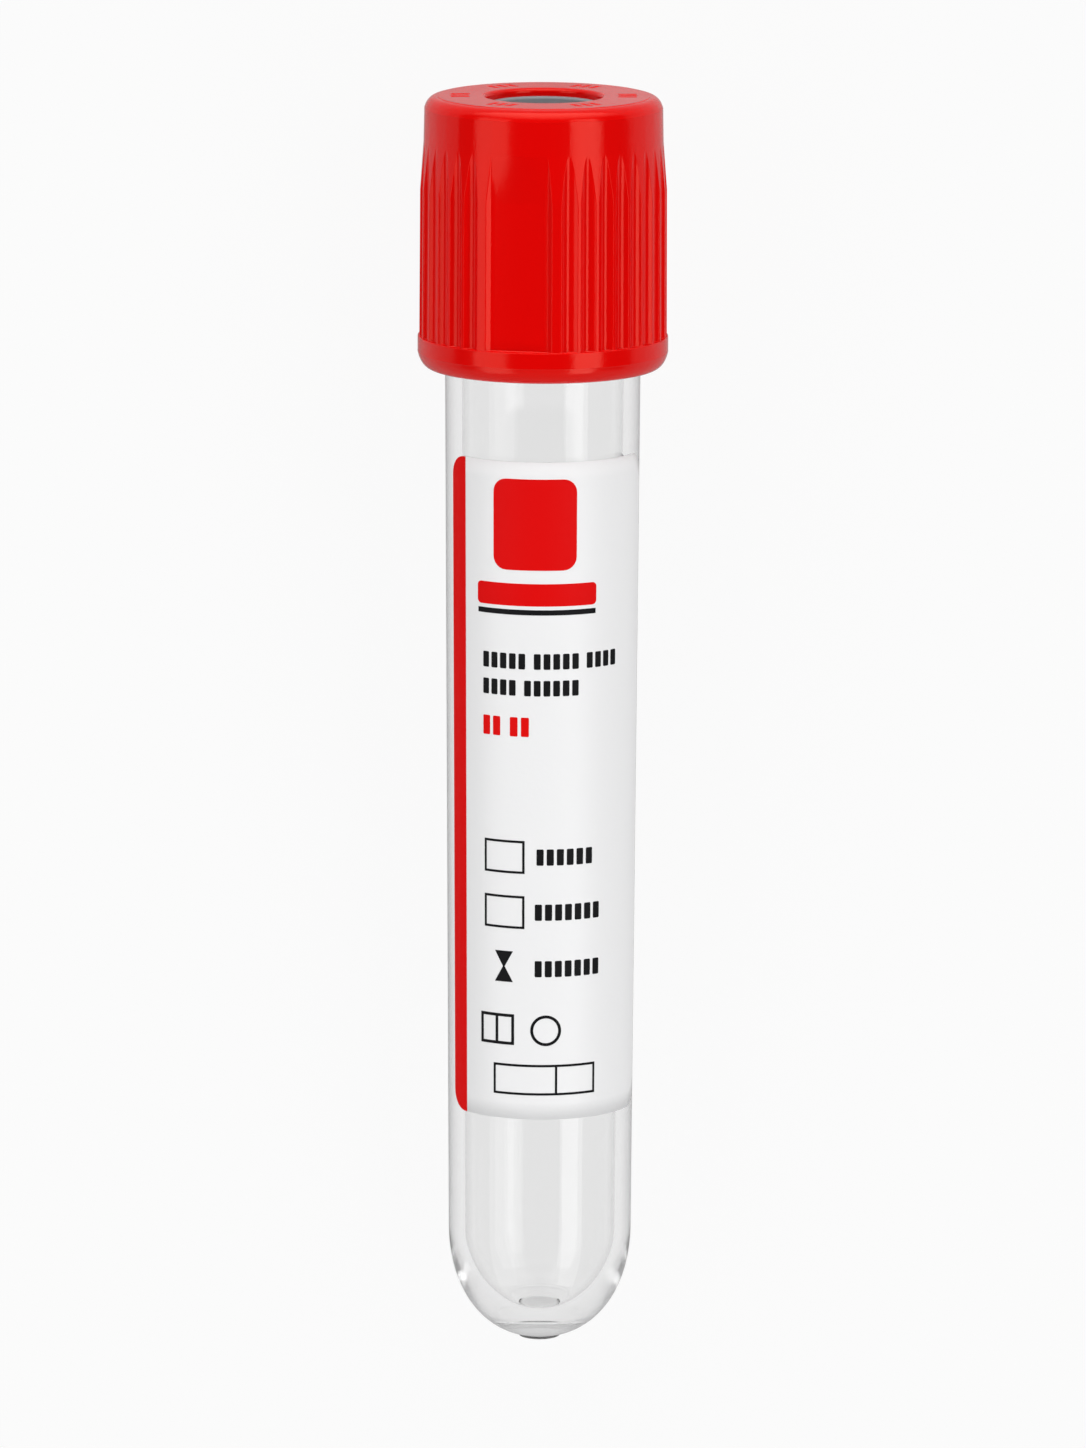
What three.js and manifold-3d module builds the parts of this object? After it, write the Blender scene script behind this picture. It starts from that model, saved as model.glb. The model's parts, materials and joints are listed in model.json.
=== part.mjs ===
// Blood collection tube: a clear moulded tube with a round end, a rubber stopper in its mouth, a red
// fluted cap over the stopper and a label round the tube's front.  Millimetres, +Z up.
//
// Every piece is drawn about the tube's own axis.  A place along the axis is a depth below the cap's
// flat top, and a profile is a list of [radius, depth] points.  The closed tube can't stand on its
// round end, so it is laid down at the end of the file, resting on the cap's flange and the round end.

import * as THREE from "three";
import { mergeVertices } from "three/addons/utils/BufferGeometryUtils.js";
import Module from "manifold-3d";

const wasm = await Module();
wasm.setup();

// Whole tube
const LENGTH = 84.45; // cap's top to the round end
const SIDES = 48; // facets round a turned piece, the middle of one straight below the axis
const AIR = 0.05; // running gap between a piece and the one it fits

// Tube: drafted wall, round end and a low gate nub
const MOUTH_DEPTH = 4.1;
const MOUTH_RADIUS = 6.565;
const DRAFT = 0.00577; // loss of radius for each millimetre towards the round end
const WALL = 1.1;
const LIP_ROUND = 0.35;
const DOME_DEPTH = 76.5; // where the wall turns into the round end
const DOME_POLE = 84.4;
const DOME_POWER = 2.2; // 2 is an ellipse, and more than 2 is fuller
const NUB_RADIUS = 1.4;
const NUB_FOOT = 1.6; // radius at which the nub meets the dome
const FLOOR_START = 77.0; // inside, where the bore turns into the floor
const FLOOR_POLE = 82.5;
const FLOOR_DEPTH = 82.1; // flat spot that the core pin leaves

// Cap: plain collar, three groups of ribs, and a flange
const CAP_HEIGHT = 18.08;
const HOLE_RADIUS = 3.83;
const HOLE_ROUND = 0.3;
const PLATE = 1.0;
const SHOULDER_FLAT = 7.08; // radius at which the flat top starts to round off
const SHOULDER_RADIUS = 7.88;
const SHOULDER_END = 0.78;
const SHOULDER_CREASE = 20; // degrees of the shoulder's curve left out where it meets the collar
const COLLAR_END = 3.05;
const VALLEY_RADIUS = 7.93;
const RIBS_FULL = 6.2; // where the ribs reach their full height
const CREST_RADIUS = 8.215;
const GROUPS = 3;
const RIB_PITCH = 9; // degrees
const RIB_CREST = 1.5; // degrees across a rib's flat crest
const RIBS_IN_GROUP = 10;
const PANEL_CENTRE = -11.65; // degrees from the front to the middle of a plain panel
const FLANGE_TOP = 15.95;
const FLANGE_RADIUS = 8.32;
const FLANGE_BEND = 17.0; // where the flange's side turns in
const FLANGE_CREASE = 17.5; // degrees of the bend's curve left out where it meets the side
const FLANGE_FOOT = 7.46;
const SKIRT_BORE = 6.95;
const SKIRT_LEAD = 0.2; // chamfer at the skirt's open end
const GUIDES = 9; // slender ribs inside the skirt that keep it centred on the tube
const GUIDE_RADIUS = 6.72;
const GUIDE_WIDTH = 0.7;
const GUIDE_TOP = 5.6;
const GUIDE_END = 17.2;

// Stopper: flange under the cap's plate, boss in its hole, plug in the bore
const SEAT_RADIUS = 7.05; // cap's inside round the stopper's flange
const BEAD_RADIUS = 6.75; // snap bead that holds the flange up
const BEAD_LENGTH = 0.6;
const BOSS_RADIUS = 3.7;
const BOSS_TOP = 0.5;
const WELL_RADIUS = 3.1;
const WELL_FLOOR = 3.4;
const PLUG_END = 12.8;
const RECESS_RADIUS = 3.3;
const RECESS_ROOF = 7.6;
const DISH = 1; // rise of the well's floor and of the recess's roof from their sides to the middle
const DISH_ARC = 60; // degrees of that rise drawn as a curve, with a flat cone inside it

// Label
const LABEL_TOP = 23.47;
const LABEL_END = 67.95;
const LABEL_FROM = -69.4; // degrees from the front
const LABEL_TO = 78.3;
const LABEL_CORNER = 1.35;
const LABEL_THICK = 0.1;
const LABEL_COLUMNS = 36;
const CORNER_COLUMNS = 4; // extra columns in each rounded corner

const radians = THREE.MathUtils.degToRad;

// Part of an ellipse in a profile.  0 degrees points outwards, and 90 degrees points down the axis.
function arc([radius, depth], [across, along], from, to, steps) {
  return Array.from({ length: steps + 1 }, (_, i) => {
    const angle = radians(from + ((to - from) * i) / steps);
    return [radius + across * Math.cos(angle), depth + along * Math.sin(angle)];
  });
}

// Rounding from a flat face out to a side.  A few degrees of the ellipse are left out where it would
// run into the side, so the two meet at a crease.
function creased([flatRadius, flatDepth], [sideRadius, sideDepth], leftOut, steps) {
  const across = (sideRadius - flatRadius) / Math.cos(radians(leftOut));
  const along = (flatDepth - sideDepth) / (1 - Math.sin(radians(leftOut)));
  return arc([flatRadius, flatDepth - along], [across, along], 90, leftOut, steps);
}

// Solid of revolution about the tube's axis.  Its facets touch the true circle from outside, and the
// half facet of turn puts the middle of one straight down.
function turned(profile) {
  const stretch = 1 / Math.cos(Math.PI / SIDES);
  const points = profile.map(([radius, depth]) => new THREE.Vector2(radius * stretch, LENGTH - depth));
  const geometry = new THREE.LatheGeometry(points, SIDES, Math.PI / SIDES);
  geometry.rotateX(Math.PI / 2);
  return welded(geometry);
}

// Geometry with its shared corners merged and the flat triangles at a pole left out.
function welded(geometry) {
  geometry.deleteAttribute("normal");
  geometry.deleteAttribute("uv");
  const merged = mergeVertices(geometry, 1e-4);
  const corners = merged.index.array;
  const kept = [];
  for (let i = 0; i < corners.length; i += 3) {
    const [a, b, c] = corners.slice(i, i + 3);
    if (a !== b && b !== c && c !== a) kept.push(a, b, c);
  }
  merged.setIndex(kept);
  return merged;
}

function toSolid(geometry) {
  const vertProperties = geometry.attributes.position.array;
  const triVerts = Uint32Array.from(geometry.index.array);
  return new wasm.Manifold(new wasm.Mesh({ numProp: 3, vertProperties, triVerts }));
}

function toGeometry(solid) {
  const { vertProperties, triVerts } = solid.getMesh();
  const geometry = new THREE.BufferGeometry();
  geometry.setAttribute("position", new THREE.BufferAttribute(vertProperties, 3));
  geometry.setIndex(new THREE.BufferAttribute(triVerts, 1));
  return geometry;
}

// Point at an angle round the tube from its front, positive to the right.
function around(radius, degrees, depth) {
  const angle = radians(degrees);
  return [radius * Math.sin(angle), -radius * Math.cos(angle), LENGTH - depth];
}

const tubeRadius = (depth) => MOUTH_RADIUS - DRAFT * (depth - MOUTH_DEPTH);
const boreRadius = (depth) => tubeRadius(depth) - WALL;

// Outside of the round end: a superellipse from the foot of the nub up to the wall.
function domeProfile(steps = 12) {
  const side = tubeRadius(DOME_DEPTH);
  const height = DOME_POLE - DOME_DEPTH;
  return Array.from({ length: steps + 1 }, (_, i) => {
    const share = NUB_FOOT / side + (1 - NUB_FOOT / side) * Math.sin((Math.PI / 2) * (i / steps));
    const rise = (1 - share ** DOME_POWER) ** (1 / DOME_POWER);
    return [side * share, DOME_DEPTH + height * rise];
  });
}

// Inside of the round end: an ellipse cut off by the floor's flat spot.
function floorProfile(steps = 7) {
  const height = FLOOR_POLE - FLOOR_START;
  const flat = THREE.MathUtils.radToDeg(Math.asin((FLOOR_DEPTH - FLOOR_START) / height));
  return arc([0, FLOOR_START], [boreRadius(FLOOR_START), height], 0, flat, steps);
}

function tube() {
  const outer = tubeRadius(MOUTH_DEPTH) - LIP_ROUND;
  const inner = boreRadius(MOUTH_DEPTH) + LIP_ROUND;
  const lip = MOUTH_DEPTH + LIP_ROUND;
  return turned([
    [0, LENGTH],
    [NUB_RADIUS, LENGTH],
    ...domeProfile(),
    ...arc([outer, lip], [LIP_ROUND, LIP_ROUND], 0, -90, 3),
    ...arc([inner, lip], [LIP_ROUND, LIP_ROUND], -90, -180, 3),
    ...floorProfile(),
    [0, FLOOR_DEPTH],
  ]);
}

// Rubber stopper: a well in its top for the needle, and a recess that thins it from below.
function stopper() {
  const flangeTop = PLATE + AIR;
  const flangeRadius = SEAT_RADIUS - AIR;
  const flangeEnd = MOUTH_DEPTH - AIR;
  const edge = 0.15;
  const plugTop = boreRadius(flangeEnd) - AIR;
  const plugEnd = boreRadius(PLUG_END) - AIR;
  const nose = 0.5;
  return turned([
    [0, RECESS_ROOF],
    ...arc([0, RECESS_ROOF + DISH], [RECESS_RADIUS, DISH], -DISH_ARC, 0, 3),
    [RECESS_RADIUS, PLUG_END - edge],
    [RECESS_RADIUS + edge, PLUG_END],
    [plugEnd - nose, PLUG_END],
    [plugEnd, PLUG_END - nose],
    [plugTop, flangeEnd],
    [flangeRadius - edge, flangeEnd],
    [flangeRadius, flangeEnd - edge],
    [flangeRadius, flangeTop + edge],
    [flangeRadius - edge, flangeTop],
    [BOSS_RADIUS, flangeTop],
    [BOSS_RADIUS, BOSS_TOP + edge],
    [BOSS_RADIUS - edge, BOSS_TOP],
    [WELL_RADIUS + edge, BOSS_TOP],
    [WELL_RADIUS, BOSS_TOP + edge],
    ...arc([0, WELL_FLOOR - DISH], [WELL_RADIUS, DISH], 0, DISH_ARC, 3),
    [0, WELL_FLOOR],
  ]);
}

// Corners round a third of the barrel: the angle from the middle of a plain panel, and whether it is
// on a rib's crest or at the bottom of a groove.  The panel's edges are at the outer grooves' bottoms.
function thirdOfBarrel() {
  const third = 360 / GROUPS;
  const firstRib = (third - (RIBS_IN_GROUP - 1) * RIB_PITCH) / 2;
  const panelEdge = firstRib - RIB_PITCH / 2;
  const panelSteps = 5;
  const low = (angle) => ({ angle, crest: false });
  const high = (angle) => ({ angle, crest: true });
  const panel = Array.from({ length: panelSteps + 1 }, (_, i) => (panelEdge * i) / panelSteps);
  const ribs = Array.from({ length: RIBS_IN_GROUP }, (_, i) => firstRib + i * RIB_PITCH);
  return [
    ...panel.map(low),
    ...ribs.flatMap((middle) =>
      [high(middle - RIB_CREST / 2), high(middle + RIB_CREST / 2), low(middle + RIB_PITCH / 2)]),
    ...panel.slice(1, -1).reverse().map((angle) => low(third - angle)),
  ];
}

// Outside of the cap above its flange.  Rings of corners are joined from the top down.  Between the
// collar and the full ribs each groove's side is split from the groove's start to the crest's edge,
// so the grooves begin as pointed arches and the slope between them narrows to the crest.
function flutedBarrel() {
  const columns = Array.from({ length: GROUPS }, (_, group) => thirdOfBarrel().map(({ angle, crest }) =>
    ({ angle: PANEL_CENTRE + angle + (group * 360) / GROUPS, crest }))).flat();
  const count = columns.length;
  const rings = [
    ...creased([SHOULDER_FLAT, 0], [SHOULDER_RADIUS, SHOULDER_END], SHOULDER_CREASE, 4),
    [VALLEY_RADIUS, COLLAR_END],
    [CREST_RADIUS, RIBS_FULL],
    [CREST_RADIUS, FLANGE_BEND],
  ].map(([crest, depth]) => ({ crest, valley: Math.min(crest, VALLEY_RADIUS), depth }));
  const corners = rings.flatMap(({ crest, valley, depth }) =>
    columns.map((column) => around(column.crest ? crest : valley, column.angle, depth)));
  const top = corners.push(around(0, 0, 0)) - 1;
  const bottom = corners.push(around(0, 0, FLANGE_BEND)) - 1;
  const faces = [];
  for (let i = 0; i < count; i += 1) {
    const next = (i + 1) % count;
    const last = (rings.length - 1) * count;
    faces.push(top, i, next);
    faces.push(bottom, last + next, last + i);
    for (let row = 0; row < last; row += count) {
      const [a, b, c, d] = [row + i, row + next, row + count + i, row + count + next];
      if (columns[next].crest && !columns[i].crest) faces.push(a, c, d, a, d, b);
      else faces.push(a, c, b, b, c, d);
    }
  }
  const geometry = new THREE.BufferGeometry();
  geometry.setAttribute("position", new THREE.Float32BufferAttribute(corners.flat(), 3));
  geometry.setIndex(faces);
  return geometry;
}

function flange() {
  return turned([
    [0, CAP_HEIGHT],
    ...creased([FLANGE_FOOT, CAP_HEIGHT], [FLANGE_RADIUS, FLANGE_BEND], FLANGE_CREASE, 4),
    [FLANGE_RADIUS, FLANGE_TOP],
    [0, FLANGE_TOP],
  ]);
}

// What is cut out of the cap: the hole in its plate, the stopper's seat, the snap bead and the skirt.
function capInside() {
  const beadTop = MOUTH_DEPTH;
  const beadEnd = beadTop + BEAD_LENGTH;
  const slope = 0.2;
  const past = 1; // how far the cutter runs past the cap at either end
  return turned([
    [0, CAP_HEIGHT + past],
    [SKIRT_BORE + SKIRT_LEAD, CAP_HEIGHT + past],
    [SKIRT_BORE + SKIRT_LEAD, CAP_HEIGHT],
    [SKIRT_BORE, CAP_HEIGHT - 2 * SKIRT_LEAD],
    [SKIRT_BORE, beadEnd + slope],
    [BEAD_RADIUS, beadEnd],
    [BEAD_RADIUS, beadTop + slope],
    [SEAT_RADIUS, beadTop],
    [SEAT_RADIUS, PLATE],
    [HOLE_RADIUS, PLATE],
    ...arc([HOLE_RADIUS + HOLE_ROUND, HOLE_ROUND], [HOLE_ROUND, HOLE_ROUND], 180, 270, 3),
    [HOLE_RADIUS + HOLE_ROUND, -past],
    [0, -past],
  ]);
}

// One guide rib: a flat strip that stands in the skirt's wall, with its lower end ramped.
function guideRib(turn) {
  const root = SKIRT_BORE + 0.3;
  const ramp = 1;
  const outline = [
    [root, GUIDE_TOP],
    [GUIDE_RADIUS, GUIDE_TOP],
    [GUIDE_RADIUS, GUIDE_END - ramp],
    [root, GUIDE_END],
  ];
  const shape = new THREE.Shape(outline.map(([radius, depth]) => new THREE.Vector2(radius, LENGTH - depth)));
  const geometry = new THREE.ExtrudeGeometry(shape, { depth: GUIDE_WIDTH, bevelEnabled: false });
  geometry.rotateX(Math.PI / 2);
  geometry.translate(0, GUIDE_WIDTH / 2, 0);
  geometry.rotateZ(radians(turn));
  return welded(geometry);
}

function cap() {
  let solid = toSolid(flutedBarrel()).add(toSolid(flange()));
  solid = solid.subtract(toSolid(capInside()));
  for (let i = 0; i < GUIDES; i += 1) {
    solid = solid.add(toSolid(guideRib((i * 360) / GUIDES)));
  }
  return toGeometry(solid);
}

// Label: columns side by side round the tube, each shortened where the corners are round.
function label() {
  const reach = THREE.MathUtils.radToDeg(LABEL_CORNER / tubeRadius(LABEL_TOP));
  const share = (i) => 1 - Math.cos((Math.PI / 2) * (i / CORNER_COLUMNS));
  const corner = Array.from({ length: CORNER_COLUMNS }, (_, i) => reach * share(i));
  const middle = LABEL_TO - LABEL_FROM - 2 * reach;
  const angles = [
    ...corner.map((turn) => LABEL_FROM + turn),
    ...Array.from({ length: LABEL_COLUMNS + 1 }, (_, i) =>
      LABEL_FROM + reach + (middle * i) / LABEL_COLUMNS),
    ...corner.reverse().map((turn) => LABEL_TO - turn),
  ];
  const points = angles.flatMap((angle) => {
    const inwards = Math.min(angle - LABEL_FROM, LABEL_TO - angle, reach) / reach;
    const cut = LABEL_CORNER * (1 - Math.sqrt(1 - (1 - inwards) ** 2));
    return [LABEL_TOP + cut, LABEL_END - cut].flatMap((depth) =>
      [AIR, AIR + LABEL_THICK].map((off) => around(tubeRadius(depth) + off, angle, depth)));
  });
  const faces = [];
  const quad = (a, b, c, d) => faces.push(a, b, c, a, c, d);
  const [topIn, topOut, endIn, endOut] = [0, 1, 2, 3];
  for (let i = 0; i < points.length - 4; i += 4) {
    const j = i + 4;
    quad(i + topOut, i + endOut, j + endOut, j + topOut);
    quad(i + topIn, j + topIn, j + endIn, i + endIn);
    quad(i + topIn, i + topOut, j + topOut, j + topIn);
    quad(i + endIn, j + endIn, j + endOut, i + endOut);
  }
  const last = points.length - 4;
  quad(topIn, endIn, endOut, topOut);
  quad(last + topIn, last + topOut, last + endOut, last + endIn);
  const geometry = new THREE.BufferGeometry();
  geometry.setAttribute("position", new THREE.Float32BufferAttribute(points.flat(), 3));
  geometry.setIndex(faces);
  return geometry;
}

// Angle between the axis and the ground when the tube lies on its flange and its round end: the
// flattest line from the flange's lower corner that clears every facet of the round end.
function restingTilt() {
  const slopes = domeProfile().map(([radius, depth]) => (FLANGE_RADIUS - radius) / (depth - FLANGE_BEND));
  return Math.atan(Math.min(...slopes));
}

function piece(name, geometry, material) {
  const mesh = new THREE.Mesh(geometry, new THREE.MeshStandardMaterial(material));
  mesh.name = name;
  return mesh;
}

const closedTube = new THREE.Group();
closedTube.add(
  piece("tube", tube(), { color: 0xe9edee, roughness: 0.05, transparent: true, opacity: 0.35 }),
  piece("label", label(), { color: 0xf0f0f0, roughness: 0.6 }),
  piece("stopper", stopper(), { color: 0x8d949c, roughness: 0.8 }),
  piece("cap", cap(), { color: 0xe00404, roughness: 0.3 }),
);

// Laid down with the cap towards +Y and the label up, its lowest facets on the ground.
closedTube.rotation.x = restingTilt() - Math.PI / 2;
const box = new THREE.Box3().setFromObject(closedTube, true);
closedTube.position.set(
  -(box.min.x + box.max.x) / 2,
  -(box.min.y + box.max.y) / 2,
  -box.min.z,
);

const model = new THREE.Group();
model.add(closedTube);

export default model;
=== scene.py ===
import json

import bpy
import numpy as np
from mathutils import Matrix, Vector


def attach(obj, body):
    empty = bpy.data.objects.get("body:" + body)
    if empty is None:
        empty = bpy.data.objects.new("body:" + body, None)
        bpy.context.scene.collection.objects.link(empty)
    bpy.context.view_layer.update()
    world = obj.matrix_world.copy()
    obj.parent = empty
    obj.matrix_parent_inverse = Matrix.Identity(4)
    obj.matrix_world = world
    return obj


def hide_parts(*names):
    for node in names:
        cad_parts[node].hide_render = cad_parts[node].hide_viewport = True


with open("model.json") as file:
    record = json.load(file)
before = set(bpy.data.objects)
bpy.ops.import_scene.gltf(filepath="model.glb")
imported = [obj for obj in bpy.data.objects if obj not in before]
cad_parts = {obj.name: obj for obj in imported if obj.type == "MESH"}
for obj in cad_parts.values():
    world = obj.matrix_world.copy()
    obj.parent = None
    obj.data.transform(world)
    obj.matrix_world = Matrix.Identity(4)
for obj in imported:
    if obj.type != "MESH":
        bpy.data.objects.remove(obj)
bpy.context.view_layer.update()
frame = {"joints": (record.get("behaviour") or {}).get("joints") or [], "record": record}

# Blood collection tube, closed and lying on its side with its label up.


# ---------------------------------------------------------------------------------------------------
# Tube.  Clear polyester, injection moulded in one shot: a drafted wall, a round end with a low gate
# nub outside and the core pin's flat spot inside, and a mouth with a rounded lip.
# ---------------------------------------------------------------------------------------------------

MM = 0.001

cap_turn = next(joint for joint in frame["joints"] if joint["name"] == "cap_turn")
cap_top = next(mount for mount in frame["record"]["mounts"] if mount["name"] == "cap_top")
axis = np.array(cap_turn["axis"], float)
hinge = np.array(cap_turn["pos_m"], float)
top = hinge + axis * ((np.array(cap_top["pos_m"]) - hinge) @ axis)
right = np.array([1.0, 0.0, 0.0])
front = np.cross(right, axis)


def place(radius, angle, depth):
    """Points about the tube's axis, in metres.  The radius and the depth below the cap's flat top are in
    millimetres, and the angle in degrees runs to the right from the front of the label."""
    radius, turn, depth = np.broadcast_arrays(radius, np.radians(angle), depth)
    out = radius[..., None] * (np.sin(turn)[..., None] * right + np.cos(turn)[..., None] * front)
    return top + MM * (out - depth[..., None] * axis)


def arc(centre, radii, start, end, steps):
    """Part of an ellipse in a profile: centre plus radii times cosine and sine.  0 degrees points away
    from the axis and 90 degrees points down it."""
    angle = np.radians(np.linspace(start, end, steps + 1))
    return np.column_stack([centre[0] + radii[0] * np.cos(angle), centre[1] + radii[1] * np.sin(angle)])


def rounded(corners, steps=6, guard=0.02):
    """Profile through (radius, depth, fillet) corners.  A fillet becomes the arc that touches both sides
    of its corner, with a guard point just before and after it that keeps the straight sides flat."""
    points = [np.array(corner[:2], float) for corner in corners]
    made = [points[0]]
    for before, (*_, fillet), here, after in zip(points, corners[1:], points[1:], points[2:]):
        if not fillet:
            made.append(here)
            continue
        back = (before - here) / np.linalg.norm(before - here)
        on = (after - here) / np.linalg.norm(after - here)
        half = np.arccos(back @ on) / 2
        reach = fillet / np.tan(half)
        centre = here + (back + on) / np.linalg.norm(back + on) * fillet / np.sin(half)
        sweep = np.pi - 2 * half
        share = np.linspace(0, 1, steps + 1)[:, None]
        spoke = (here + back * reach - centre, here + on * reach - centre)
        bend = (np.sin((1 - share) * sweep) * spoke[0] + np.sin(share * sweep) * spoke[1]) / np.sin(sweep)
        made += [here + back * (reach + guard), *(centre + bend), here + on * (reach + guard)]
    made.append(points[-1])
    return np.array(made)


def quads(rows, columns, close_rows=False, close_columns=True):
    """Corner numbers of the faces of a grid of points, each face between two rows and two columns."""
    number = np.arange(rows * columns).reshape(rows, columns)
    if close_rows:
        number = np.vstack([number, number[:1]])
    if close_columns:
        number = np.hstack([number, number[:, :1]])
    corners = [number[:-1, :-1], number[1:, :-1], number[1:, 1:], number[:-1, 1:]]
    return np.stack(corners, -1).reshape(-1, 4)


def solid(name, points, faces, material, body):
    """Mesh object from points and faces, smooth, with its finish, riding on a body of the frame."""
    mesh = bpy.data.meshes.new(name)
    mesh.from_pydata(points.reshape(-1, 3).tolist(), [], faces)
    mesh.shade_smooth()
    mesh.materials.append(material)
    piece = bpy.data.objects.new(name, mesh)
    bpy.context.scene.collection.objects.link(piece)
    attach(piece, body)
    return piece


def turned(name, profile, material, body, columns=256):
    """Solid of revolution: the profile's points repeated round the axis.  It starts and ends on the
    axis, where a fan of triangles closes it onto one point."""
    angles = np.linspace(0, 360, columns, endpoint=False)
    rings = place(profile[1:-1, :1], angles[None, :], profile[1:-1, 1:])
    ends = place(profile[[0, -1], 0], 0.0, profile[[0, -1], 1])
    side = quads(len(rings), columns)
    number = np.arange(columns)
    onward = np.roll(number, -1)
    first, last = len(rings) * columns, len(rings) * columns + 1
    low = (len(rings) - 1) * columns
    fans = np.vstack([
        np.column_stack([np.full(columns, first), number, onward]),
        np.column_stack([np.full(columns, last), low + onward, low + number]),
    ])
    points = np.vstack([rings.reshape(-1, 3), ends])
    return solid(name, points, side.tolist() + fans.tolist(), material, body)


def finish(name, **values):
    """Principled material with plain numbers on its own sockets, and its node tree to add to.  A socket
    that is linked afterwards keeps its number as the finish's plain value."""
    material = bpy.data.materials.new(name)
    material.use_nodes = True
    nodes, links = material.node_tree.nodes, material.node_tree.links
    shader = nodes["Principled BSDF"]
    for socket, value in values.items():
        shader.inputs[socket.replace("_", " ")].default_value = value
    where = nodes.new("ShaderNodeTexCoord").outputs["Object"]
    return material, nodes, links, shader, where


def grain(nodes, links, where, scale, detail=3.0, stretch=(1, 1, 1)):
    """Noise on object coordinates, stretched along the given axes.  The scale is in features a metre."""
    mapping = nodes.new("ShaderNodeMapping")
    mapping.inputs["Scale"].default_value = stretch
    noise = nodes.new("ShaderNodeTexNoise")
    noise.inputs["Scale"].default_value = scale
    noise.inputs["Detail"].default_value = detail
    links.new(where, mapping.inputs["Vector"])
    links.new(mapping.outputs["Vector"], noise.inputs["Vector"])
    return noise.outputs["Fac"]


def spread(nodes, links, value, low, high, start=0.3, end=0.7):
    """A value from start to end brought to the range from low to high.  Noise lies from 0.3 to 0.7."""
    remap = nodes.new("ShaderNodeMapRange")
    remap.inputs["From Min"].default_value = start
    remap.inputs["From Max"].default_value = end
    remap.inputs["To Min"].default_value = low
    remap.inputs["To Max"].default_value = high
    links.new(value, remap.inputs["Value"])
    return remap.outputs["Result"]


def relief(nodes, links, shader, height, distance):
    """Bump from a height of 0 to 1, over a distance in metres."""
    bump = nodes.new("ShaderNodeBump")
    bump.inputs["Distance"].default_value = distance
    links.new(height, bump.inputs["Height"])
    links.new(bump.outputs["Normal"], shader.inputs["Normal"])


LENGTH = 84.45
MOUTH_DEPTH, MOUTH_RADIUS = 4.1, 6.565
WALL, WALL_DRAFT, LIP = 1.1, 0.00577, 0.35
NUB_FOOT, NUB_RADIUS = 1.6, 1.35
MATT_FROM, MATT_FULL = 84.25, 84.35


def tube_radius(depth):
    """Outside radius: the mouth's, less the wall's draft for each millimetre further down."""
    return MOUTH_RADIUS - WALL_DRAFT * (depth - MOUTH_DEPTH)


def bore_radius(depth):
    """Inside radius: the outside less the wall."""
    return tube_radius(depth) - WALL


def round_end(steps):
    """Outside of the round end from the wall to the nub's foot: a superellipse of power 2.2."""
    start, pole, power = 76.5, 84.4, 2.2
    side = tube_radius(start)
    foot = NUB_FOOT / side
    share = (foot + (1 - foot) * np.cos(np.linspace(0, np.pi / 2, steps + 1))).clip(max=1)
    return np.column_stack([side * share, start + (pole - start) * (1 - share ** power) ** (1 / power)])


def bore_floor(steps):
    """Inside of the round end from the flat spot up to the wall: an ellipse, cut off by the flat spot.
    The core pin's tip leaves the spot a little sunk, inside a low rim."""
    start, pole, flat = 76.8, 82.85, 82.2
    sunk, rim, fillet = 0.1, 0.04, 0.03
    cut = np.degrees(np.arcsin((flat - start) / (pole - start)))
    curve = arc((0, start), (bore_radius(start), pole - start), cut, 0, steps)
    reach = curve[0, 0]
    spot = rounded([
        (0, flat + sunk, 0), (reach - 0.16, flat + sunk, fillet), (reach - 0.1, flat - rim, fillet),
        (reach + 0.02, flat - rim, fillet), (*curve[2], 0),
    ], steps=4, guard=0.01)
    return np.vstack([spot[:-1], curve[2:]])


wall_depths = np.linspace(75.5, 6.0, 30)
outside_end = round_end(48)
gate_nub = rounded([
    (*outside_end[-2], 0), (*outside_end[-1], 0.15), (NUB_RADIUS, LENGTH, 0.12), (0, LENGTH, 0),
], guard=0.01)
tube_profile = np.vstack([
    bore_floor(40),
    np.column_stack([bore_radius(wall_depths), wall_depths]),
    arc((bore_radius(MOUTH_DEPTH) + LIP, MOUTH_DEPTH + LIP), (LIP, LIP), 180, 270, 8),
    arc((tube_radius(MOUTH_DEPTH) - LIP, MOUTH_DEPTH + LIP), (LIP, LIP), 270, 360, 8),
    np.column_stack([tube_radius(wall_depths[::-1]), wall_depths[::-1]]),
    outside_end[:-1],
    gate_nub[1:],
])

# Clear, a little smoky where it is thick, faintly wavy, and matt on the gate nub. Its colour darkens where
# the wall is seen edge on: painted shade for the dark lines along its edges.
clear, nodes, links, shader, where = finish(
    "clear_polyester", Base_Color=(1, 1, 1, 1), Roughness=0.0, IOR=1.575, Transmission_Weight=1.0,
    Specular_Tint=(0.35, 0.35, 0.35, 1))
haze = nodes.new("ShaderNodeVolumeAbsorption")
haze.inputs["Color"].default_value = (0.5, 0.5, 0.5, 1)
haze.inputs["Density"].default_value = 72
links.new(haze.outputs["Volume"], nodes["Material Output"].inputs["Volume"])
edge = nodes.new("ShaderNodeLayerWeight")
edge.inputs["Blend"].default_value = 0.5
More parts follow.
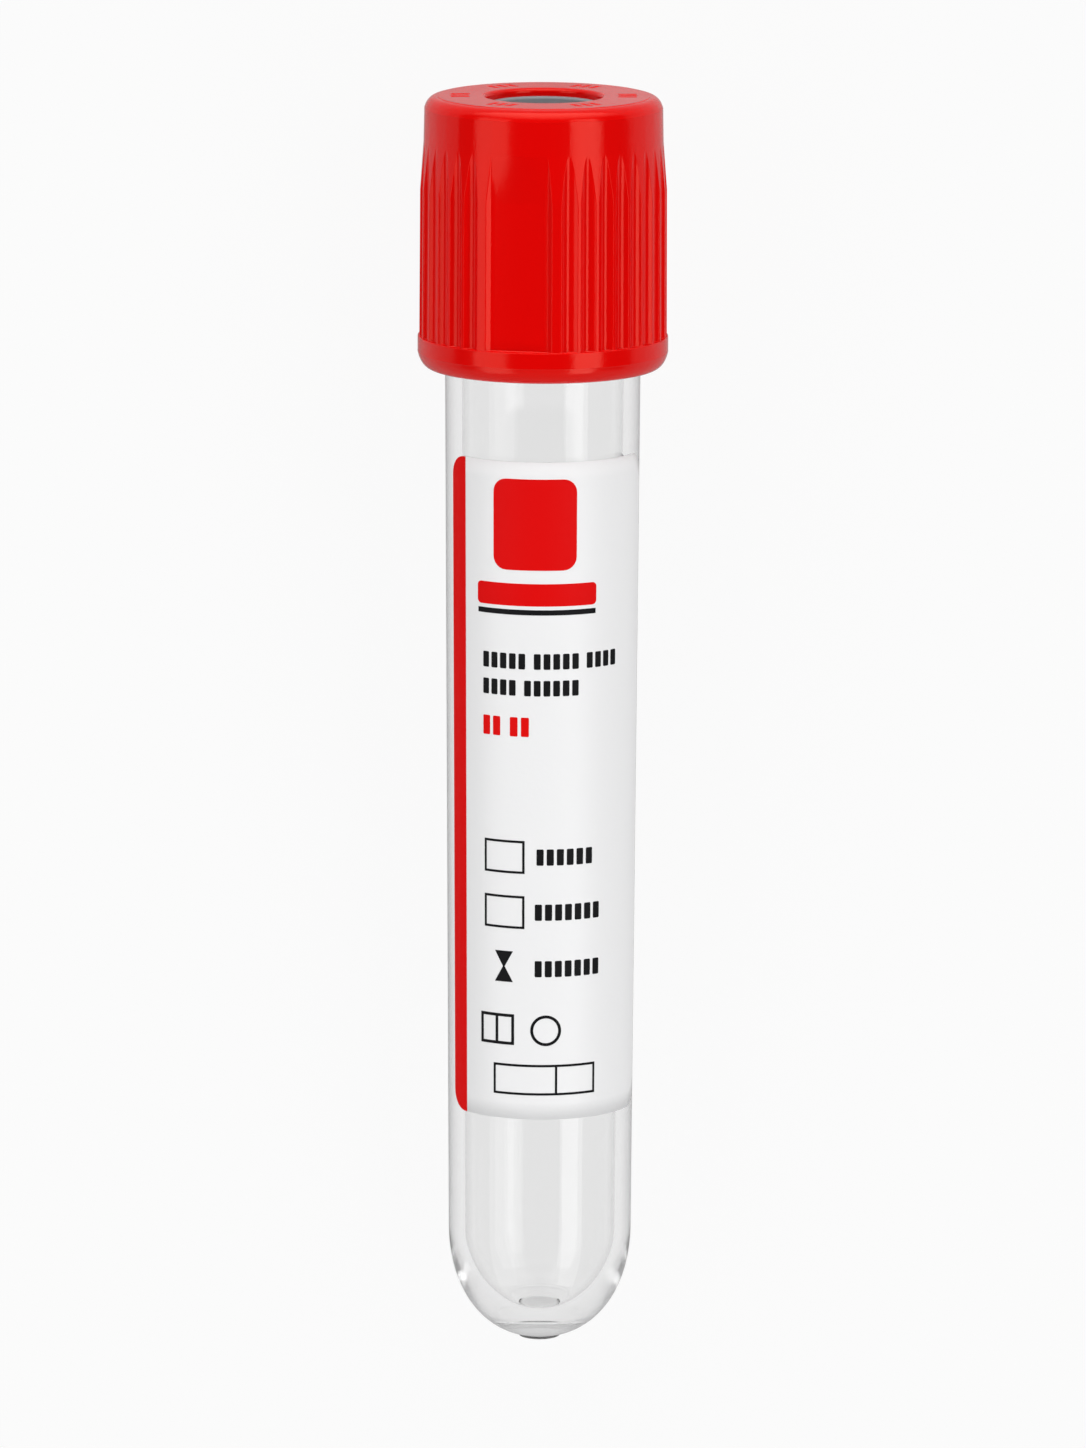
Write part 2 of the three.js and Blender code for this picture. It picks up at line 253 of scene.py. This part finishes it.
# Painted shade: the wall's colour runs from a light grey face on to a darker grey edge on.
painted_edge_shade = nodes.new("ShaderNodeValToRGB")
face_on, edge_on_shade = painted_edge_shade.color_ramp.elements
face_on.position, face_on.color = 0.55, (0.945, 0.945, 0.945, 1)
edge_on_shade.position, edge_on_shade.color = 0.95, (0.45, 0.45, 0.46, 1)
links.new(edge.outputs["Facing"], painted_edge_shade.inputs["Fac"])
links.new(painted_edge_shade.outputs["Color"], shader.inputs["Base Color"])
waves = grain(nodes, links, where, 90, detail=1.0, stretch=(1, 0.15, 1))
relief(nodes, links, shader, waves, 1e-6)
along = nodes.new("ShaderNodeSeparateXYZ")
links.new(where, along.inputs["Vector"])
matt_from, matt_full = place(0.0, 0.0, np.array([MATT_FROM, MATT_FULL]))[:, 1]
matt = spread(nodes, links, along.outputs["Y"], 0, 0.6, matt_from, matt_full)
links.new(matt, shader.inputs["Roughness"])

tube = turned("clear_tube", tube_profile, clear, "tube")
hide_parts("tube")


# ---------------------------------------------------------------------------------------------------
# Label.  White coated stock 0.1 mm thick, die cut with rounded corners and stuck round the front of
# the tube, a little further round to the right than to the left.
# ---------------------------------------------------------------------------------------------------

LABEL_TOP, LABEL_END = 23.47, 67.95
LABEL_LEFT, LABEL_RIGHT = -63.6, 76.5
LABEL_CORNER = 1.35
LABEL_OFF, LABEL_THICK = 0.05, 0.1


def label_angle(across):
    """Angle of a place on the label from how far it is round the tube from the front, in millimetres."""
    middle_radius = tube_radius((LABEL_TOP + LABEL_END) / 2) + LABEL_OFF + LABEL_THICK
    return np.degrees(np.asarray(across) / middle_radius)


def corner_cut(angle):
    """How much shorter the label is at an angle: nothing, but for the quarter circles at its corners."""
    reach = label_angle(LABEL_CORNER)
    inwards = np.minimum(np.minimum(angle - LABEL_LEFT, LABEL_RIGHT - angle), reach) / reach
    return LABEL_CORNER * (1 - np.sqrt((1 - (1 - inwards) ** 2).clip(0)))


def label_columns(start, end, count=90):
    """Angles across a part of the label, closer together in its rounded corners."""
    reach = label_angle(LABEL_CORNER)
    close = reach * (1 - np.cos(np.linspace(0, np.pi / 2, 13)))
    between = np.linspace(LABEL_LEFT + reach, LABEL_RIGHT - reach, count)
    spaced = np.concatenate([LABEL_LEFT + close, between, LABEL_RIGHT - close])
    inside = spaced[(spaced > start + 0.05) & (spaced < end - 0.05)]
    return np.unique(np.concatenate([[start], inside, [end]]))


def slab(angle, depth, low, high, wrap=False):
    """Thin closed plate that lies round the tube: the same grid of places at two heights above the
    wall, in millimetres, joined along its edges.  A wrapped grid closes on itself, as a ring does."""
    rows, columns = angle.shape
    over, under = (place(tube_radius(depth) + height, angle, depth) for height in (high, low))
    outside = quads(rows, columns, close_columns=wrap)
    inside = outside[:, ::-1] + rows * columns
    number = np.arange(rows * columns).reshape(rows, columns)
    if wrap:
        rims = [np.append(number[-1], number[-1, 0]), np.append(number[0], number[0, 0])[::-1]]
    else:
        rims = [np.concatenate([
            number[:-1, 0], number[-1, :-1], number[:0:-1, -1], number[0, :0:-1], number[:1, 0]])]
    edges = [np.column_stack([rim[:-1], rim[:-1] + rows * columns, rim[1:] + rows * columns, rim[1:]])
             for rim in rims]
    return np.vstack([over.reshape(-1, 3), under.reshape(-1, 3)]), np.vstack([outside, inside, *edges])


def plates(name, made, material, body):
    """One flat-shaded piece from several plates, each one's corner numbers moved past the last's."""
    starts = np.cumsum([0] + [len(points) for points, _ in made])
    points = np.vstack([points for points, _ in made])
    faces = np.vstack([faces + start for (_, faces), start in zip(made, starts)])
    piece = solid(name, points, faces.tolist(), material, body)
    piece.data.shade_flat()
    return piece


def label_strip(start, end, rows, low, high):
    """The label's outline between two angles, from its top edge to its lower edge, as a plate."""
    angle = label_columns(start, end)[None, :]
    share = np.linspace(0, 1, rows)[:, None]
    cut = corner_cut(angle)
    depth = LABEL_TOP + cut + (LABEL_END - LABEL_TOP - 2 * cut) * share
    return slab(np.broadcast_to(angle, depth.shape), depth, low, high)


stock, nodes, links, shader, where = finish(
    "coated_label_stock", Base_Color=(0.90, 0.90, 0.905, 1), Roughness=0.42, Specular_IOR_Level=0.4)
fibres = grain(nodes, links, where, 2500, detail=4.0)
links.new(spread(nodes, links, fibres, 0.38, 0.5), shader.inputs["Roughness"])
relief(nodes, links, shader, fibres, 12e-6)

points, faces = label_strip(LABEL_LEFT, LABEL_RIGHT, 40, LABEL_OFF, LABEL_OFF + LABEL_THICK)
label = solid("white_label", points, faces.tolist(), stock, "tube")
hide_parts("label")


# ---------------------------------------------------------------------------------------------------
# Label print.  Flat inks: a red stripe down the left edge, a plain red panel and bar at the top, and
# blocks, frames and simple signs where the stock would carry its text.  Each lies on the label.
# ---------------------------------------------------------------------------------------------------

INK_LOW = LABEL_OFF + LABEL_THICK - 0.02
INK_HIGH = LABEL_OFF + LABEL_THICK + 0.012
STRIPE_RIGHT = -50.3


def field(left, high, width, height, corner=0.0):
    """Printed rectangle, in millimetres to the right of the front and below the cap's top, with its
    corners rounded by shortening its end columns along a quarter circle."""
    reach = max(corner, 0.001)
    close = reach * (1 - np.cos(np.linspace(0, np.pi / 2, 7)))
    across = np.unique(np.concatenate([close, np.linspace(reach, width - reach, 24), width - close]))
    inwards = np.minimum(np.minimum(across, width - across), reach) / reach
    cut = corner * (1 - np.sqrt((1 - (1 - inwards) ** 2).clip(0)))
    depth = high + cut + (height - 2 * cut) * np.linspace(0, 1, 6)[:, None]
    angle = np.broadcast_to(label_angle(left + across), depth.shape)
    return slab(angle, depth, INK_LOW, INK_HIGH)


def frame_box(left, high, width, height, line=0.16, divider=None):
    """Printed frame of four lines, with an upright divider if one is given."""
    lines = [
        field(left, high, width, line), field(left, high + height - line, width, line),
        field(left, high + line, line, height - 2 * line),
        field(left + width - line, high + line, line, height - 2 * line),
    ]
    if divider:
        lines.append(field(left + divider, high + line, line, height - 2 * line))
    return lines


def words(left, high, height, letters, pitch=0.64):
    """Line of print as plain blocks, one for each letter, in words of the given numbers of letters.  A
    block is 0.7 of the pitch wide, and words stand 0.6 of a pitch further apart than letters."""
    before = np.cumsum([0] + [count + 0.6 for count in letters])
    places = np.concatenate([start + np.arange(count) for start, count in zip(before, letters)])
    return [field(start, high, 0.7 * pitch, height, corner=0.08) for start in left + pitch * places]


def ring_sign(across, depth, radius, line=0.2):
    """Printed ring: a circle's inner and outer edge, joined all the way round."""
    turn = np.linspace(0, 2 * np.pi, 48, endpoint=False)[None, :]
    reach = np.array([[radius - line], [radius]])
    angle = label_angle(across + reach * np.sin(turn))
    return slab(angle, depth + reach * np.cos(turn), INK_LOW, INK_HIGH, wrap=True)


def taper(across, high, low, top_width, low_width):
    """Printed piece that narrows or widens evenly from its upper to its lower edge."""
    share = np.linspace(0, 1, 8)[:, None]
    half = (top_width + (low_width - top_width) * share) / 2
    angle = label_angle(across + half * np.linspace(-1, 1, 8))
    depth = np.broadcast_to(high + (low - high) * share, angle.shape)
    return slab(angle, depth, INK_LOW, INK_HIGH)


def ink(name, colour, roughness):
    """Printing ink: flat colour with a slightly uneven gloss."""
    made, nodes, links, shader, where = finish(
        name, Base_Color=colour, Roughness=roughness, Specular_IOR_Level=0.08)
    cloud = grain(nodes, links, where, 1800)
    links.new(spread(nodes, links, cloud, roughness - 0.05, roughness + 0.06), shader.inputs["Roughness"])
    relief(nodes, links, shader, cloud, 6e-6)
    return made


red_ink = ink("red_ink", (0.76, 0.002, 0.002, 1), 0.55)
dark_ink = ink("dark_ink", (0.008, 0.008, 0.009, 1), 0.55)

stripe = label_strip(LABEL_LEFT, STRIPE_RIGHT, 40, INK_LOW, INK_HIGH)
plates("red_edge_stripe", [stripe], red_ink, "tube")

plates("red_print", [
    field(-3.3, 24.6, 5.6, 6.1, corner=0.9),
    field(-4.55, 31.6, 8.3, 1.5, corner=0.3),
    *words(-4.1, 40.6, 1.3, [2, 2], pitch=0.76),
], red_ink, "tube")

plates("dark_print", [
    field(-4.5, 33.35, 8.2, 0.35),
    *words(-4.1, 36.3, 1.05, [5, 5, 4]),
    *words(-4.1, 38.1, 1.05, [4, 6]),
    *frame_box(-4.0, 48.95, 2.9, 2.24),
    *words(-0.3, 49.5, 1.1, [6], pitch=0.68),
    *frame_box(-4.0, 52.7, 2.9, 2.24),
    *words(-0.4, 53.25, 1.1, [7], pitch=0.68),
    taper(-2.54, 56.5, 57.55, 1.3, 0.12), taper(-2.54, 57.55, 58.6, 0.12, 1.3),
    *words(-0.4, 57.1, 1.1, [7], pitch=0.68),
    *frame_box(-4.3, 60.8, 2.5, 2.1, line=0.2, divider=1.15),
    ring_sign(0.36, 61.86, 1.05),
    *frame_box(-3.3, 64.2, 7.2, 2.1, divider=4.3),
], dark_ink, "tube")


# ---------------------------------------------------------------------------------------------------
# Stopper.  Blue-grey butyl rubber, moulded in one piece: a flange held under the cap's plate, a boss
# with the needle well that shows through the cap's hole, and a plug with a hollow underside.
# ---------------------------------------------------------------------------------------------------

PLATE = 1.0
SEAT_RADIUS = 7.05
AIR = 0.05
BOSS_RADIUS, BOSS_TOP = 3.7, 0.5
PLUG_END = 12.8
WELL_RADIUS, WELL_FLOOR = 3.1, 3.4
RECESS_RADIUS, RECESS_ROOF = 3.3, 7.6
DISH = 1.0

stopper_profile = np.vstack([
    arc((0, WELL_FLOOR - DISH), (WELL_RADIUS - 0.02, DISH), 90, 8, 20),
    rounded([
        (WELL_RADIUS, WELL_FLOOR - DISH - 0.1, 0), (WELL_RADIUS, BOSS_TOP, 0.15),
        (BOSS_RADIUS, BOSS_TOP, 0.15), (BOSS_RADIUS, PLATE + AIR, 0.1),
        (SEAT_RADIUS - AIR, PLATE + AIR, 0.15), (SEAT_RADIUS - AIR, MOUTH_DEPTH - AIR, 0.15),
        (bore_radius(MOUTH_DEPTH) - AIR, MOUTH_DEPTH - AIR, 0.1),
        (bore_radius(PLUG_END) - AIR, PLUG_END, 0.5), (RECESS_RADIUS, PLUG_END, 0.15),
        (RECESS_RADIUS, RECESS_ROOF + DISH + 0.1, 0),
    ]),
    arc((0, RECESS_ROOF + DISH), (RECESS_RADIUS - 0.02, DISH), -8, -90, 20),
])

rubber, nodes, links, shader, where = finish(
    "butyl_rubber", Base_Color=(0.25, 0.265, 0.28, 1), Roughness=0.5, Specular_IOR_Level=0.4)
bloom = grain(nodes, links, where, 1400, detail=4.0)
links.new(spread(nodes, links, bloom, 0.44, 0.62), shader.inputs["Roughness"])
relief(nodes, links, shader, bloom, 20e-6)

stopper = turned("rubber_stopper", stopper_profile, rubber, "stopper", columns=192)
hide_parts("stopper")


# ---------------------------------------------------------------------------------------------------
# Cap.  Red polyethylene, injection moulded in one piece: a flat top with a hole and short sunk marks,
# a plain collar, three groups of ten ribs between plain panels, a flange, and guide ribs inside.
# ---------------------------------------------------------------------------------------------------

BARREL_RADIUS, BARREL_DRAFT = 7.93, 0.045
RIB_HEIGHT, PANEL_SUNK = 0.285, 0.19
RIB_PITCH = 9.0
RIBS_IN_GROUP = 10
CREST_EDGE, PANEL_CREST_EDGE, PANEL_FOOT = 0.7, 3.75, 5.65
PANEL_CENTRE = -11.65
SHOULDER_END, COLLAR_END, RIBS_FULL = 0.78, 3.05, 6.2
FLANGE_TOP, FLANGE_BEND, CAP_HEIGHT = 15.95, 17.0, 18.08
FLANGE_RADIUS, FLANGE_FOOT = 8.32, 7.46
SKIRT_BORE, SNAP_BEAD = 6.95, 6.75
GUIDE_START, GUIDE_END, GUIDE_HEIGHT = 5.7, 16.2, 0.23
GUIDE_STEP, GUIDE_FIRST, GUIDE_HALF, GUIDE_FLANK = 40, 10, 3.6, 0.7
HOLE_RADIUS, HOLE_ROUND = 3.83, 0.3
MARK_RADIUS, MARK_REACH, MARK_TIP = 5.55, 0.6, 0.09
MARK_PITCH, MARK_HALF, MARK_SIDE, MARK_SUNK = 0.7, 0.19, 0.12, 0.13

FIRST_RIB = (120 - (RIBS_IN_GROUP - 1) * RIB_PITCH) / 2
PANEL_HALF = FIRST_RIB - PANEL_FOOT
GROOVE_HALF = RIB_PITCH / 2 - CREST_EDGE


def third_of_barrel():
    """Columns from one panel's middle to the next's: where each is counted from, the side it lies to,
    what it follows and its spot there.  It follows 0 the panel, 1 the foot of a panel's flank, 2 the
    edge of the crest above it, 3 a crest's middle, 4 the crest beside a groove, 5 the groove."""
    last = 120 - FIRST_RIB
    bend = np.linspace(-1, 1, 5)
    clear_of_bend = 0.45
    panel = np.linspace(0, PANEL_HALF - clear_of_bend, 9)
    across_groove = (-1, -0.94, -0.8, -0.55, -0.28, 0, 0.28, 0.55, 0.8, 0.94, 1)
    columns = [(0, 0, 0, angle) for angle in panel]
    columns += [(FIRST_RIB, -1, kind, spot) for kind in (1, 2) for spot in bend[::-1]]
    for rib in range(RIBS_IN_GROUP):
        centre = FIRST_RIB + rib * RIB_PITCH
        columns.append((centre, 0, 3, 0))
        if rib < RIBS_IN_GROUP - 1:
            groove = centre + RIB_PITCH / 2
            columns.append((groove, -1, 4, 0))
            columns += [(groove, 1, 5, spot) for spot in across_groove]
            columns.append((groove, 1, 4, 0))
    columns += [(last, 1, kind, spot) for kind in (2, 1) for spot in bend]
    columns += [(120, 0, 0, -angle) for angle in panel[:0:-1]]
    return np.array(columns)


def fluted(share):
    """Angles and heights over the barrel for rows where the ribs have a share of their full height.  The
    grooves are one parabola all the way, which the rising crests leave further apart, and so they begin
    as pointed arches.  A panel's flanks are straight, and the panel between them grows flatter.  A trace
    of the ribs is left in every row, so that no two columns fall together."""
    trace = 0.002
    thirds = [third_of_barrel() + [120 * turn, 0, 0, 0] for turn in range(3)]
    start, side, kind, spot = np.vstack(thirds).T[:, None, :]
    share = np.maximum(share[:, None], trace)
    rise = RIB_HEIGHT * share
    groove = GROOVE_HALF * np.sqrt(share)
    guard = groove + np.minimum(0.2, 0.3 * (RIB_PITCH / 2 - groove))
    slope = RIB_HEIGHT / (PANEL_FOOT - PANEL_CREST_EDGE)
    crest = PANEL_FOOT - rise / slope
    blend = np.minimum(0.25, 0.35 * (PANEL_FOOT - crest))
    offset = np.select([kind == 0, kind == 1, kind == 2, kind == 4, kind == 5], [
        spot, side * (PANEL_FOOT + spot * blend), side * (crest + spot * blend), side * guard,
        groove * spot], 0)
    panel = -PANEL_SUNK * share * (1 - (spot / PANEL_HALF) ** 2)
    foot = slope * blend * (1 - spot) ** 2 / 4
    brow = rise - slope * blend * (1 + spot) ** 2 / 4
    heights = [panel, foot, brow, rise * spot ** 2]
    over = np.select([kind == 0, kind == 1, kind == 2, kind == 5], heights, rise)
    return PANEL_CENTRE + start + offset, over


def creased(flat, side, left_out, steps):
    """Rounding from a flat face out to a side: part of an ellipse, with its last degrees left out, so
    that it meets the side at a crease."""
    cut = np.radians(left_out)
    across = (side[0] - flat[0]) / np.cos(cut)
    along = (flat[1] - side[1]) / (1 - np.sin(cut))
    return arc((flat[0], flat[1] - along), (across, along), 90, left_out, steps)


def nearest(angle, step, first):
    """Angle to the nearest of several places, a step apart and counted from the first."""
    return np.abs((angle - first + step / 2) % step - step / 2)


def section_rows(points, share=0.0, ribbed=0.0, settled=1.0):
    """Rows of the cap's section: radius, depth, share of the ribs' height, whether the ribs show, and
    whether the columns stand evenly, 0, or at the ribs' own places, 1."""
    points = np.array(points, float)
    settings = [np.broadcast_to(value, len(points)) for value in (share, ribbed, settled)]
    return np.column_stack([points, *settings])


def cap_section():
    """Closed section of the cap from the top's inner edge down the outside, in at the skirt's end, up
    the inside and back through the hole."""
    mark_half = MARK_REACH + MARK_TIP
    marked = np.linspace(MARK_RADIUS - mark_half, MARK_RADIUS + mark_half, 28)
    flat = [(radius, 0) for radius in (4.15, 4.5, *marked)]
    # A fine step runs round the top's edge, and the shoulder under it meets the collar at a crease.
    edge = rounded([
        (6.3, 0, 0), (6.95, 0, 0), (7.02, 0, 0.02), (7.05, 0.04, 0.02), (7.1, 0.04, 0),
    ], steps=3, guard=0.005)[1:-1]
    shoulder = creased((7.12, 0.045), (7.88, SHOULDER_END), left_out=20, steps=16)
    collar = [
        (7.89, SHOULDER_END + 0.02), (7.883, SHOULDER_END + 0.04), (7.884, SHOULDER_END + 0.06),
        (7.905, 1.9), (7.928, COLLAR_END - 0.03)]
    # The ribs rise out of the collar, in rows that stand closer where they are low.
    ramp = np.linspace(0, 1, 22) ** 1.6
    starts = np.column_stack([
        BARREL_RADIUS - BARREL_DRAFT * ramp, COLLAR_END + (RIBS_FULL - COLLAR_END) * ramp])
    depths = np.array([RIBS_FULL + 0.03, 8, 12, FLANGE_TOP - 0.06, FLANGE_TOP - 0.03])
    drawn_in = BARREL_DRAFT * (FLANGE_TOP - depths) / (FLANGE_TOP - RIBS_FULL)
    ribs = np.column_stack([BARREL_RADIUS - drawn_in, depths])
    side = FLANGE_RADIUS - 0.01
    flange = rounded([
        (BARREL_RADIUS + RIB_HEIGHT, FLANGE_TOP, 0), (side, FLANGE_TOP, 0.06),
        (side, FLANGE_BEND - 0.06, 0), (side, FLANGE_BEND - 0.04, 0),
        (FLANGE_RADIUS, FLANGE_BEND - 0.02, 0),
    ], steps=5, guard=0.005)
    corner = creased((FLANGE_FOOT, CAP_HEIGHT), (side, FLANGE_BEND), left_out=17.5, steps=16)[::-1]
    inside = rounded([
        (FLANGE_FOOT, CAP_HEIGHT, 0), (SKIRT_BORE + 0.2, CAP_HEIGHT, 0.05),
        (SKIRT_BORE, CAP_HEIGHT - 0.4, 0.05), (SKIRT_BORE, GUIDE_END + 0.9, 0), (SKIRT_BORE, GUIDE_END, 0),
        (SKIRT_BORE, 11, 0), (SKIRT_BORE, GUIDE_START, 0), (SKIRT_BORE, 5.5, 0), (SKIRT_BORE, 4.9, 0.05),
        (SNAP_BEAD, 4.7, 0.05), (SNAP_BEAD, 4.3, 0.05), (SEAT_RADIUS, MOUTH_DEPTH, 0.03),
        (SEAT_RADIUS, PLATE, 0.1), (HOLE_RADIUS, PLATE, 0.08), (HOLE_RADIUS, HOLE_ROUND, 0),
    ], steps=4)[1:]
    mouth = arc((HOLE_RADIUS + HOLE_ROUND, HOLE_ROUND), (HOLE_ROUND, HOLE_ROUND), 190, 265, 7)
    return np.vstack([
        section_rows(flat, settled=0), section_rows(edge), section_rows(shoulder), section_rows(collar),
        section_rows(starts, share=ramp, ribbed=1), section_rows(ribs, share=1, ribbed=1),
        section_rows(flange, share=1), section_rows(corner, share=1),
        section_rows(inside, settled=0), section_rows(mouth, settled=0)])


section = cap_section()
angle, over = fluted(section[:, 2])
radius = section[:, :1] + over * section[:, 3:4]
depth = np.broadcast_to(section[:, 1:2], radius.shape).copy()
even = np.linspace(0, 360, radius.shape[1], endpoint=False)[None, :] + angle[0, 0]
angle = even + (angle - even) * section[:, 4:5]

# Nine guide ribs inside the skirt, straight along its bore, with a lead-in at each end.
guided = (section[:, :1] == SKIRT_BORE) & (section[:, 1:2] >= GUIDE_START) & (section[:, 1:2] <= GUIDE_END)
guide = np.clip((GUIDE_HALF - nearest(angle, GUIDE_STEP, GUIDE_FIRST)) / GUIDE_FLANK, 0, 1)
radius = radius - guided * GUIDE_HEIGHT * guide

# Six groups of three short bars, sunk in the flat top with sloping sides and round edges.
along_ring = np.radians(nearest(angle, 60, 30)) * radius
off_bar = np.abs((along_ring + MARK_PITCH / 2) % MARK_PITCH - MARK_PITCH / 2)
bar = np.clip((MARK_HALF - off_bar) / MARK_SIDE, 0, 1) * (along_ring < 1.5 * MARK_PITCH - 0.05)
tip = np.clip((MARK_REACH - np.abs(radius - MARK_RADIUS)) / MARK_TIP, 0, 1)
bar = bar * tip * (section[:, 1:2] == 0)
depth = depth + MARK_SUNK * bar * (2 - bar)

red, nodes, links, shader, where = finish(
    "red_polyethylene", Base_Color=(0.76, 0.0003, 0.0003, 1), Roughness=0.15, IOR=1.5,
    Specular_IOR_Level=0.6, Specular_Tint=(1, 0.3, 0.22, 1))
pebble = grain(nodes, links, where, 3200)
flow = grain(nodes, links, where, 160, detail=2.0, stretch=(1, 0.3, 1))
links.new(spread(nodes, links, flow, 0.12, 0.18), shader.inputs["Roughness"])
relief(nodes, links, shader, pebble, 8e-6)

cap = solid("ribbed_cap", place(radius, angle, depth), quads(*radius.shape, close_rows=True).tolist(),
            red, "cap")
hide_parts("cap")


# ---------------------------------------------------------------------------------------------------
# Studio.  A pale floor under the tube, a long soft lamp along each side of it, and a dim room that is
# brighter past the tube's two ends.  Seen by itself or through the clear wall, all of it is white.
# ---------------------------------------------------------------------------------------------------

def lamp(name, angle, spread_angle, distance, length, radiance, along):
    """Long soft lamp parallel to the tube.  Its angle is about the tube from straight over the label,
    and its power is what gives its face the wanted radiance."""
    data = bpy.data.lights.new(name, "AREA")
    data.shape = "RECTANGLE"
    data.size = 2 * distance * np.tan(np.radians(spread_angle / 2))
    data.size_y = length
    data.energy = radiance * np.pi * data.size * data.size_y
    made = bpy.data.objects.new(name, data)
    bpy.context.scene.collection.objects.link(made)
    turn = np.radians(angle)
    back = Vector((np.sin(turn), 0, np.cos(turn)))
    side = Vector((0, 1, 0)).cross(back)
    made.matrix_world = Matrix.Translation(back * distance + Vector((0, along, 0))) @ Matrix(
        (side, Vector((0, 1, 0)), back)).transposed().to_4x4()


lamp("right_softbox", angle=41.5, spread_angle=27, distance=1.2, length=2.0, radiance=2.65, along=-0.25)
lamp("left_softbox", angle=-50, spread_angle=33, distance=1.2, length=2.0, radiance=1.65, along=-0.25)

world = bpy.data.worlds.new("studio")
bpy.context.scene.world = world
world.use_nodes = True
nodes, links = world.node_tree.nodes, world.node_tree.links
direction = nodes.new("ShaderNodeTexCoord")
split = nodes.new("ShaderNodeSeparateXYZ")
links.new(direction.outputs["Generated"], split.inputs["Vector"])


def room_end(dim, bright):
    """Part of the room that brightens smoothly between two values of the direction along the tube."""
    fade = nodes.new("ShaderNodeMapRange")
    fade.interpolation_type = "SMOOTHSTEP"
    fade.inputs["From Min"].default_value = dim
    fade.inputs["From Max"].default_value = bright
    links.new(split.outputs["Y"], fade.inputs["Value"])
    return fade.outputs["Result"]


def brighter(one, other):
    """The larger of two values."""
    larger = nodes.new("ShaderNodeMath")
    larger.operation = "MAXIMUM"
    links.new(one, larger.inputs[0])
    links.new(other, larger.inputs[1])
    return larger.outputs[0]


def times(value, share):
    """A value times a share."""
    part = nodes.new("ShaderNodeMath")
    part.operation = "MULTIPLY"
    part.inputs[1].default_value = share
    links.new(value, part.inputs[0])
    return part.outputs[0]


past_cap = times(room_end(dim=0.5, bright=0.95), 3.0)
past_round_end = times(room_end(dim=-0.45, bright=-0.7), 0.6)
ends = brighter(past_cap, past_round_end)
glow = nodes.new("ShaderNodeMath")
glow.operation = "ADD"
glow.inputs[1].default_value = 0.1
links.new(ends, glow.inputs[0])
ray = nodes.new("ShaderNodeLightPath")
seen = times(brighter(ray.outputs["Is Camera Ray"], ray.outputs["Is Transmission Ray"]), 0.95)
links.new(brighter(glow.outputs[0], seen), nodes["Background"].inputs["Strength"])
nodes["Background"].inputs["Color"].default_value = (1, 1, 1, 1)

FLOOR_REACH, FLOOR_DROP = 6.0, 0.00003
corners = np.array([[-1, -1, 0], [1, -1, 0], [1, 1, 0], [-1, 1, 0]]) * FLOOR_REACH
sheet = bpy.data.meshes.new("floor")
sheet.from_pydata((corners - [0, 0, FLOOR_DROP]).tolist(), [], [(0, 1, 2, 3)])
floor = bpy.data.objects.new("floor", sheet)
bpy.context.scene.collection.objects.link(floor)
paper = bpy.data.materials.new("white_floor")
paper.use_nodes = True
sheet.materials.append(paper)
nodes, links = paper.node_tree.nodes, paper.node_tree.links
shader = nodes["Principled BSDF"]
shader.inputs["Base Color"].default_value = (0.5, 0.5, 0.5, 1)
shader.inputs["Roughness"].default_value = 1.0
shader.inputs["Specular IOR Level"].default_value = 0.0
glow = nodes.new("ShaderNodeEmission")
mix = nodes.new("ShaderNodeMixShader")
ray = nodes.new("ShaderNodeLightPath")
seen = times(brighter(ray.outputs["Is Camera Ray"], ray.outputs["Is Transmission Ray"]), 0.93)
links.new(brighter(seen, times(ray.outputs["Is Glossy Ray"], 0.1)), mix.inputs["Fac"])
links.new(shader.outputs["BSDF"], mix.inputs[1])
links.new(glow.outputs["Emission"], mix.inputs[2])
links.new(mix.outputs["Shader"], nodes["Material Output"].inputs["Surface"])


# ---------------------------------------------------------------------------------------------------
# Camera.  It looks down on the label from over the cap's end, a long lens far off.
# ---------------------------------------------------------------------------------------------------

CAMERA_OUT = 0.5988
CAMERA_UP = 0.07617
CAMERA_RIGHT = 0.0001
CAMERA_PITCH = np.radians(11.19)
CAMERA_ROLL = np.radians(0.21)

eye = top + right * CAMERA_RIGHT + front * CAMERA_OUT + axis * CAMERA_UP
look = -np.cos(CAMERA_PITCH) * front - np.sin(CAMERA_PITCH) * axis
upward = np.cos(CAMERA_PITCH) * axis - np.sin(CAMERA_PITCH) * front
level = np.cos(CAMERA_ROLL) * right + np.sin(CAMERA_ROLL) * upward
upward = np.cos(CAMERA_ROLL) * upward - np.sin(CAMERA_ROLL) * right
camera = bpy.data.objects.new("camera", bpy.data.cameras.new("camera"))
camera.data.sensor_width = 36
camera.data.lens = 226.9
camera.data.clip_start, camera.data.clip_end = 0.01, 20
camera.matrix_world = Matrix.Translation(eye) @ Matrix((level, upward, -look)).transposed().to_4x4()
bpy.context.scene.collection.objects.link(camera)
bpy.context.scene.camera = camera

bpy.context.scene.view_settings.view_transform = "Standard"
bpy.context.scene.cycles.max_bounces = 24
bpy.context.scene.cycles.glossy_bounces = 24
bpy.context.scene.cycles.transmission_bounces = 24
